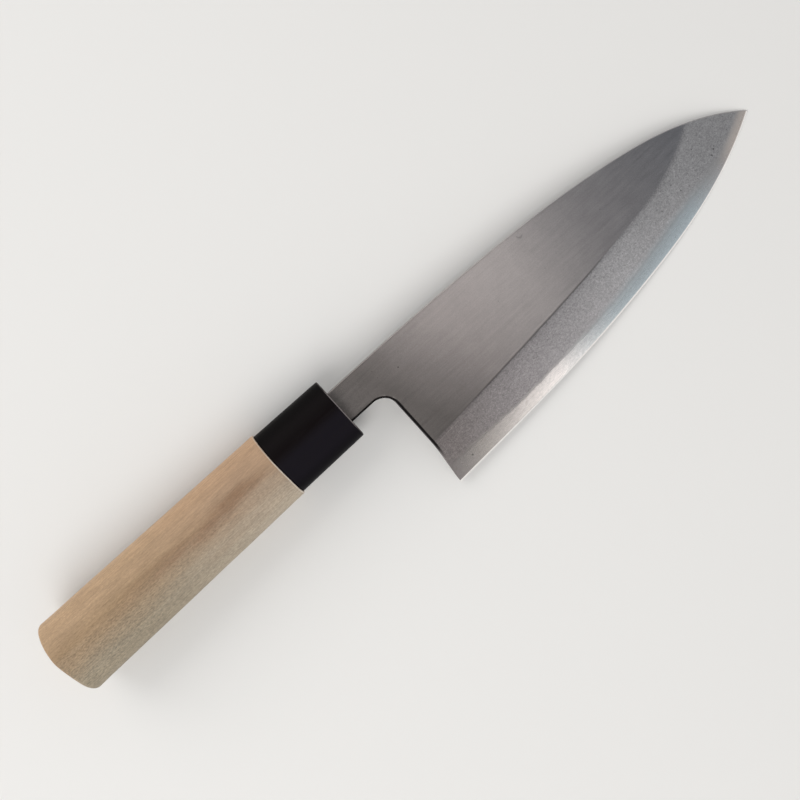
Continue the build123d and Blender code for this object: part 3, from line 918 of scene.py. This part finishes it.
def makeSteel(name):
    material, tree, shader = newMaterial(name)
    look, axes = steelLook, knifeAxes(tree)
    reach, across = apart(axes, "X"), apart(axes, "Y")
    overRidge, overWeld = attribute(tree, "overRidge"), attribute(tree, "overWeld")
    fromEdge, fromChoil, fromSpine = [
        attribute(tree, label) for label in ("fromEdge", "fromChoil", "fromSpine")]
    top = facing(tree, 2).remap(*look["upperSide"])
    lines, scratches, backLines = [
        drawnLines(axes, *look[key]) for key in ("faceLines", "bevelLines", "backLines")]
    cloud, mottle, grain, blotch, swell = [
        noise(axes, *look[key]) for key in ("cloud", "mottle", "grain", "blotch", "swell")]
    uneven = mottle - 0.5

    # upper face: painted reflection over the steel's tone, dark at the neck, warm in the middle, cool and
    # darker to the tip, and painted shade a little darker towards the ridge; towards the handle the dark
    # corner of the reflection leans with the ridge
    lean = across * look["darkReflectionLean"] * reach.remap(*look["darkReflectionEnd"])
    face = ramp((reach + lean).even(*look["reachSpan"]), look["faceToneAndReflectionStops"])
    face = shade(face, lines.even(0, 1, *look["faceByLines"]), cloud.remap(*noiseCore, *look["faceByCloud"]),
                 grain.even(*noiseSpan, *look["faceByGrain"]), overRidge.even(*look["faceReflectionByRidge"]),
                 uneven * reach.remap(*look["scuffed"]) + 1.0)

    # bevel: matte and mottled, with painted reflection along it; painted shade makes it darkest just
    # under the ridge and lighter to the weld line
    along = reach.even(*look["reachSpan"])
    slopeShade = overRidge.even(*look["bevelShadeByRidge"]) * reach.remap(*look["ridgeEnd"]) + 1.0
    bevel = shade(ramp(along, look["bevelToneAndReflectionStops"]), slopeShade, overRidge.remap(*look["shadeUnderRidge"]),
                  mottle.even(*noiseSpan, *look["bevelByMottle"]),
                  grain.even(*noiseSpan, *look["bevelByGrain"]), scratches.even(0, 1, *look["bevelByLines"]))

    # hard steel band: brighter, with painted reflection along it and painted light rising from the
    # weld line towards the edge, and a soft uneven border that widens towards the tip
    band = shade(ramp(along, look["bandToneAndReflectionStops"]), blotch.remap(*noiseCore, *look["bandByBlotch"]),
                 grain.even(*noiseSpan, *look["bandByGrain"]), overWeld.even(*look["bandReflectionByWeld"]))
    waves = (swell - 0.5) * look["bandWaves"] + uneven * look["bandRaggedness"]
    tipWidth, heelWidth = [reach.remap(*border) for border in look["bandBorders"]]
    onBevel = overRidge.remap(*look["bevelBorder"])
    inBand = ((overWeld + waves) / tipWidth.orMore(heelWidth)).remap(1, -1)
    inBand = inBand * reach.remap(*look["bandStart"]) * onBevel
    colour = mix((overRidge / reach.remap(*look["turnOver"])).remap(1, -1), face, bevel)
    colour = mix(inBand, colour, band)

    # painted light: a warm painted reflection along the edge of the tip, the painted shade and
    # highlight lines beside the ridge, and painted highlights on the keen edge and the spine's arris
    glow = fromEdge.remap(*look["tipReflectionWidth"]) * reach.remap(*look["tipReflectionReach"])
    colour = mix(glow, colour, look["tipPaintedReflection"])
    for offset, outer, inner, ends, amount in look["ridgeShadeAndHighlights"]:
        line = abs(overRidge - offset).remap(outer, inner)
        for end in ends:
            line = line * reach.remap(*end)
        colour = shade(colour, line.even(0, 1, 1, amount))
    # painted highlight along the keen edge
    colour = mix(fromEdge.remap(*look["keenHighlightWidth"]), colour, look["keen"])
    # painted highlight along the spine's arris towards the tip
    light = fromSpine.remap(*look["spineHighlightWidth"]) * reach.remap(*look["spineHighlightReach"])
    colour = mix(light, colour, look["spineHighlight"])

    # marks: scattered specks, single pits and a dent by the spine, drawn in the relief, with painted shade
    # on one side that makes it a darker crescent
    dots = useGroup(specks, Vector=axes, **look["specks"]) * look["speckShare"]
    for x, y, size in look["pits"]:
        dots = dots.orMore(useGroup(spot, Vector=axes, Middle=(x, y, 0), Size=size) * top)
    (x, y, size), (aside, up) = look["dent"], look["dentFill"]
    hollow, filled = [useGroup(spot, Vector=axes, Middle=middle, Size=size)
                      for middle in ((x, y, 0), (x + aside, y + up, 0))]
    crescent = (hollow - filled).orMore(0) * top
    colour = shade(colour, dots.even(0, 1, 1, look["pitShade"]), crescent.even(0, 1, 1, look["dentSideShade"]))

    # back: long straight lines, darker in the ground hollow than on its flat rim
    edgeRim, choilRim, spineRim = [
        gap.remap(*rim) for gap, rim in zip((fromEdge, fromChoil, fromSpine), look["rims"])]
    back = mix(backLines * look["backLineShare"], look["back"], look["backLine"])
    back = shade(back, (edgeRim * choilRim * spineRim).even(0, 1, *look["backShades"]))
    colour = mix(top, back, colour)

    # black scale on the neck's underside, the inner corner and the choil, fading below the ridge;
    # its soft outer fringe is painted shade laid over the chamfer's highlight
    scale = (fromChoil + uneven * look["scaleRaggedness"]).remap(*look["scaleAndShadeWidth"])
    scale = scale * overRidge.remap(*look["scaleEnd"]) * top
    colour = mix(scale, colour, look["scale"])

    # roughness and relief: lines on the face, grain and scratches on the bevel, pits at the dots
    rough = mixNumbers(onBevel, lines.even(0, 1, *look["faceRoughness"]),
                       mottle.even(*noiseCore, *look["bevelRoughness"]))
    rough = mixNumbers(inBand, rough, blotch.even(*noiseCore, *look["bandRoughness"]))
    rough = mixNumbers(scale, rough, look["scaleRoughness"])
    relief = mixNumbers(onBevel, lines * look["lineRelief"],
                        grain * look["grainRelief"] + scratches * look["lineRelief"])
    height = relief * inBand.even(0, 1, 1, look["bandRelief"]) - dots.orMore(crescent)
    shader.inputs["Metallic"].default_value = 1.0
    finishSurface(shader, colour, rough, height, look["reliefStrength"], look["reliefDepth"])
    return material


steelMaterial = makeSteel("groundSteel")
bladeIron.data.materials.append(steelMaterial)
bladeSteel.data.materials.append(steelMaterial)

# Black collar

collarLook = {
    # the sheen colour is a painted reflection over the edge side
    "dark": (0.0050, 0.0034, 0.0038), "paintedSheen": (0.0066, 0.0055, 0.0080),
    # the last colour is a painted highlight for the front rim
    "streak": (0.0080, 0.0064, 0.0072), "rimHighlight": (0.24, 0.215, 0.21),
    "streaks": (1.2, 4.0, 0.6), "streakStretch": 0.12, "fine": (5.0, 3.0, 0.6),  # noises as in the steel
    # fades as in the steel: over the ridge, by the streaks, and away from the middle; the sheen side and the
    # side and flank shades are painted light and shade
    "paintedSheenSide": (1.0, -3.0), "streakShare": (0.45, 0.75, 0, 0.4), "sideShade": (3, -3, 0.9, 1.3),
    "flankShade": (6.5, 11, 1, 0.45),
    # the painted highlight on the front rim: its reach, how far it faces forward, its patches, and away from
    # the middle
    "rimHighlightReach": (-0.5, -0.25), "rimHighlightFacing": (0.97, 0.8), "rimHighlightPatches": (0.25, 0.5),
    "rimHighlightMiddle": (9, 6.5, 0.3, 1),
    "roughness": (0.40, 0.52), "specular": 0.04, "fineRelief": 0.5, "reliefStrength": 0.15,
    "reliefDepth": 0.00005,
}


def makeCollarFinish():
    material, tree, shader = newMaterial("blackHorn")
    look, axes = collarLook, knifeAxes(tree)
    ridgeGap = attribute(tree, "ridgeGap")
    middle = abs(ridgeGap + section["ridgeOffset"])
    streaks = noise(stretched(axes, (look["streakStretch"], 1, 1)), *look["streaks"])
    fine = noise(axes, *look["fine"])
    # painted light: a painted sheen over the edge side, which is lit more than the spine side, and painted
    # shade darkening the flanks away from the middle
    colour = mix(ridgeGap.remap(*look["paintedSheenSide"]), look["dark"], look["paintedSheen"])
    colour = mix(streaks.remap(*look["streakShare"]), colour, look["streak"])
    colour = shade(colour, middle.remap(*look["flankShade"]), ridgeGap.remap(*look["sideShade"]))

    # painted highlight along the front rim, patchy, strongest beside the neck
    rimHighlight = apart(axes, "X").remap(*look["rimHighlightReach"]) * facing(tree, 0).remap(*look["rimHighlightFacing"])
    rimHighlight = rimHighlight * fine.remap(*look["rimHighlightPatches"]) * middle.remap(*look["rimHighlightMiddle"])
    colour = mix(rimHighlight, colour, look["rimHighlight"])
    shader.inputs["Specular IOR Level"].default_value = look["specular"]
    finishSurface(shader, colour, streaks.even(*noiseCore, *look["roughness"]),
                  streaks + fine * look["fineRelief"], look["reliefStrength"], look["reliefDepth"])
    return material


collarShell.data.materials.append(makeCollarFinish())

# Pale wood

woodLook = {
    "acrossSpan": (-16, 11),  # the stops are shares of this way up to the spine side, mm
    # the stops across hold the wood's tone with painted light: a painted sheen on the edge side and painted
    # shade at the ridge
    "jointToneAndLightStops": [(0.2, (0.41, 0.34, 0.26)), (0.6, (0.33, 0.22, 0.14)), (1.0, (0.47, 0.30, 0.18))],
    "buttToneAndLightStops": [(0.2, (0.295, 0.245, 0.175)), (0.6, (0.31, 0.21, 0.12)), (1.0, (0.48, 0.32, 0.19))],
    "streak": (0.222, 0.127, 0.071), "openPore": (0.200, 0.130, 0.078),
    # the rim colour is the joint's pale end grain with a painted highlight
    "endPale": (0.450, 0.328, 0.229), "endDark": (0.310, 0.205, 0.135), "rim": (0.70, 0.61, 0.51),
    # slow bends, fibres, pores and patches: stretch along and across the grain, then scale per
    # mm, detail and roughness
    "grains": [(0.035, 0.2, 1.0, 3.0, 0.5), (0.07, 1, 1.7, 5.0, 0.7), (0.38, 1, 2.6, 3.0, 0.65),
               (0.11, 0.3, 1.0, 3.0, 0.6)],
    "byFibre": (1.2, 0.8), "byPatch": (0.95, 1.05), "poreShade": 1.7,
    # fades: away from the joint, over the ridge, or by a pattern
    "buttFade": (8, 68), "sway": 9.0, "streakOffset": 0.2, "streakWidth": (3.2, 0.3),
    "streakEnds": [(80, 25), (1, 14)], "streakPatches": (0.36, 0.6, 0.35, 1), "streakShare": 0.75,
    "poreSheenSide": (3, -4, 0.45, 1), "poreEnd": (15, 80, 0.6, 1), "openPores": (0.52, 0.66, 0, 0.4),
    "rings": {"Scale": 0.16, "Distortion": 1.6, "Detail": 3.0, "Detail Scale": 0.5},
    "ringMiddle": (0, 34, -21), "ringFade": (0.2, 0.9, 0, 0.36), "endFacing": (-0.55, -0.85),
    "jointHighlightWidth": (0.42, 0.25), "jointHighlightFacing": (-0.2, 0.2), "jointHighlightSide": (6, -3, 0.45, 1),
    "roughness": (0.48, 0.62), "specular": 0.35, "fibreRelief": 0.5, "reliefStrength": 0.35,
    "reliefDepth": 0.00015,
}


def makeWoodFinish():
    material, tree, shader = newMaterial("paleWood")
    look, axes = woodLook, knifeAxes(tree)
    ridgeGap, fromJoint = attribute(tree, "ridgeGap"), attribute(tree, "fromJoint")
    forward = facing(tree, 0)
    slow, fibre, pores, patch = [noise(stretched(axes, (along, across, across)), *settings)
                                 for along, across, *settings in look["grains"]]

    # orange tan over the spine side and paler, greyer over the edge side, painted light from the two sides,
    # with painted shade darker at the ridge; browner to the butt
    swayed = ridgeGap + (slow - 0.5) * look["sway"]
    across = swayed.even(*look["acrossSpan"])
    colour = mix(fromJoint.remap(*look["buttFade"]), ramp(across, look["jointToneAndLightStops"]),
                 ramp(across, look["buttToneAndLightStops"]))

    # a soft patchy darker streak wanders along the ridge from the joint and fades towards the butt
    streak = abs(swayed + look["streakOffset"]).remap(*look["streakWidth"])
    for end in look["streakEnds"]:
        streak = streak * fromJoint.remap(*end)
    streak = streak * patch.remap(*look["streakPatches"]) * look["streakShare"]
    colour = shade(mix(streak, colour, look["streak"]), fibre.even(*noiseSpan, *look["byFibre"]),
                   patch.remap(*noiseCore, *look["byPatch"]))

    # short dark pores and bright flecks of the grain, strongest over the edge side of the butt,
    # where the extra strength is a painted sheen
    grainy = ridgeGap.remap(*look["poreSheenSide"]) * fromJoint.remap(*look["poreEnd"])
    colour = shade(colour, (pores - 0.5) * grainy * -look["poreShade"] + 1.0)

    # end grain: rings round a far centre, and open pores; and at the joint a pale rim of end grain
    # with a painted highlight, stronger on the edge side
    rings = addNode(tree, "ShaderNodeTexWave", "Fac", {
        "Vector": stretched(axes, (0, 1, 1), move=look["ringMiddle"]), **look["rings"]},
        wave_type="RINGS", rings_direction="X")
    end = mix(rings.remap(*look["ringFade"]), look["endPale"], look["endDark"])
    end = mix(pores.remap(*look["openPores"]), end, look["openPore"])
    colour = mix(forward.remap(*look["endFacing"]), colour, end)
    rim = fromJoint.remap(*look["jointHighlightWidth"]) * forward.remap(*look["jointHighlightFacing"])
    colour = mix(rim * ridgeGap.remap(*look["jointHighlightSide"]), colour, look["rim"])
    shader.inputs["Specular IOR Level"].default_value = look["specular"]
    finishSurface(shader, colour, fibre.even(*noiseCore, *look["roughness"]),
                  fibre * look["fibreRelief"] - pores * grainy, look["reliefStrength"], look["reliefDepth"])
    return material


woodGrip.data.materials.append(makeWoodFinish())
print("materials made")

# Floor, light and camera

studio = {
    "floorSize": 8.0, "floorColour": (0.80, 0.79, 0.775), "floorRoughness": 0.9,
    "floorFade": (0.3, 1.3),  # metres from the middle
    # panels: place and size in metres, power in watts, and colour. A key panel, a softer one
    # across from it that lights the spine side, and two small dim ones whose reflections
    # brighten the middle of the face and of the edge band
    "panels": {
        "keyPanel": ((-0.85, -0.5, 1.15), (1.1, 1.1), 12.3, (1.0, 0.985, 0.965)),
        "sidePanel": ((-0.3, 0.95, 0.7), (0.8, 0.8), 4.6, (1.0, 0.985, 0.965)),
        "facePanel": ((0.33, -0.12, 1.15), (0.22, 0.34), 0.42, (1.0, 0.955, 0.93)),
        "bandPanel": ((0.325, -0.84, 0.80), (0.15, 0.34), 0.22, (1.0, 0.955, 0.93)),
    },
    # world: brightness and colour from the horizon to the zenith, and the rise between them
    "horizon": 0.80, "zenith": 0.25, "zenithRise": (0.3, 0.95),
    "horizonColour": (1.0, 0.99, 0.975), "zenithColour": (0.93, 0.97, 1.0),
    # camera: places in metres, turn of the picture in degrees, and lens in mm
    "eye": (-0.022113, 0.014120, 0.293447), "target": (-0.011737, 0.004912, 0.000026),
    "pictureTurn": 42.283, "lens": 37.71, "sensor": 36.0, "clip": (0.01, 20.0),
}


def makeFloor():
    # a flat square that fades into the horizon's colour where the camera or a reflection sees it
    half = studio["floorSize"] / 2
    corners = [(-half, -half, 0), (half, -half, 0), (half, half, 0), (-half, half, 0)]
    mesh = bpy.data.meshes.new("studioFloor")
    mesh.from_pydata(corners, [], [(0, 1, 2, 3)])
    floor = bpy.data.objects.new("studioFloor", mesh)
    scene.collection.objects.link(floor)
    material, tree, shader = newMaterial("paleFloor")
    feed(shader.inputs["Base Color"], studio["floorColour"])
    feed(shader.inputs["Roughness"], studio["floorRoughness"])
    away = vectorMaths("LENGTH", "Value", addNode(tree, "ShaderNodeTexCoord", "Object"))
    direct, glossy, through = [addNode(tree, "ShaderNodeLightPath", ray)
                               for ray in ("Is Camera Ray", "Is Glossy Ray", "Is Transmission Ray")]
    far = addNode(tree, "ShaderNodeEmission", 0, {
        "Color": studio["horizonColour"], "Strength": studio["horizon"]})
    seen = direct.orMore(glossy).orMore(through) * away.remap(*studio["floorFade"])
    join = addNode(tree, "ShaderNodeMixShader", 0, {0: seen, 1: Wire(shader.outputs["BSDF"]), 2: far})
    feed(tree.nodes["Material Output"].inputs["Surface"], join)
    mesh.materials.append(material)


def addHolder(name, data, place, back, upright):
    # a lamp's or camera's object at a place, with its back and its upper side turned as given
    holder = bpy.data.objects.new(name, data)
    pose = Matrix((upright.cross(back), upright, back)).transposed().to_4x4()
    pose.translation = Vector(place)
    holder.matrix_world = pose
    scene.collection.objects.link(holder)
    return holder


def addPanel(name, place, size, power, colour):
    lamp = bpy.data.lights.new(name, "AREA")
    lamp.shape, lamp.size, lamp.size_y = "RECTANGLE", *size
    lamp.energy, lamp.color = power, colour
    back = Vector(place).normalized()  # every panel looks at the middle of the floor
    addHolder(name, lamp, place, back, (-back).cross(Vector((1, 0, 0))).normalized())


def makeLight():
    for name, panel in studio["panels"].items():
        addPanel(name, *panel)
    world = bpy.data.worlds.new("paleRoom")
    scene.world = world
    world.use_nodes = True
    tree = world.node_tree
    backdrop = tree.nodes["Background"]
    up = apart(addNode(tree, "ShaderNodeTexCoord", "Generated"), "Z")
    high = up.remap(*studio["zenithRise"])
    feed(backdrop.inputs["Strength"], high.even(0, 1, studio["horizon"], studio["zenith"]))
    feed(backdrop.inputs["Color"], mix(high, studio["horizonColour"], studio["zenithColour"]))


def makeCamera():
    lens = bpy.data.cameras.new("photoCamera")
    lens.lens, lens.sensor_width = studio["lens"], studio["sensor"]
    lens.clip_start, lens.clip_end = studio["clip"]
    sight = (Vector(studio["target"]) - Vector(studio["eye"])).normalized()
    upright = Vector((0, 1, 0))
    upright = (upright - sight * upright.dot(sight)).normalized()
    upright.rotate(Matrix.Rotation(math.radians(-studio["pictureTurn"]), 3, -sight))
    scene.camera = addHolder("photoCamera", lens, studio["eye"], -sight, upright)


makeFloor()
makeLight()
makeCamera()
scene.view_settings.view_transform = "Standard"
print("studio ready")
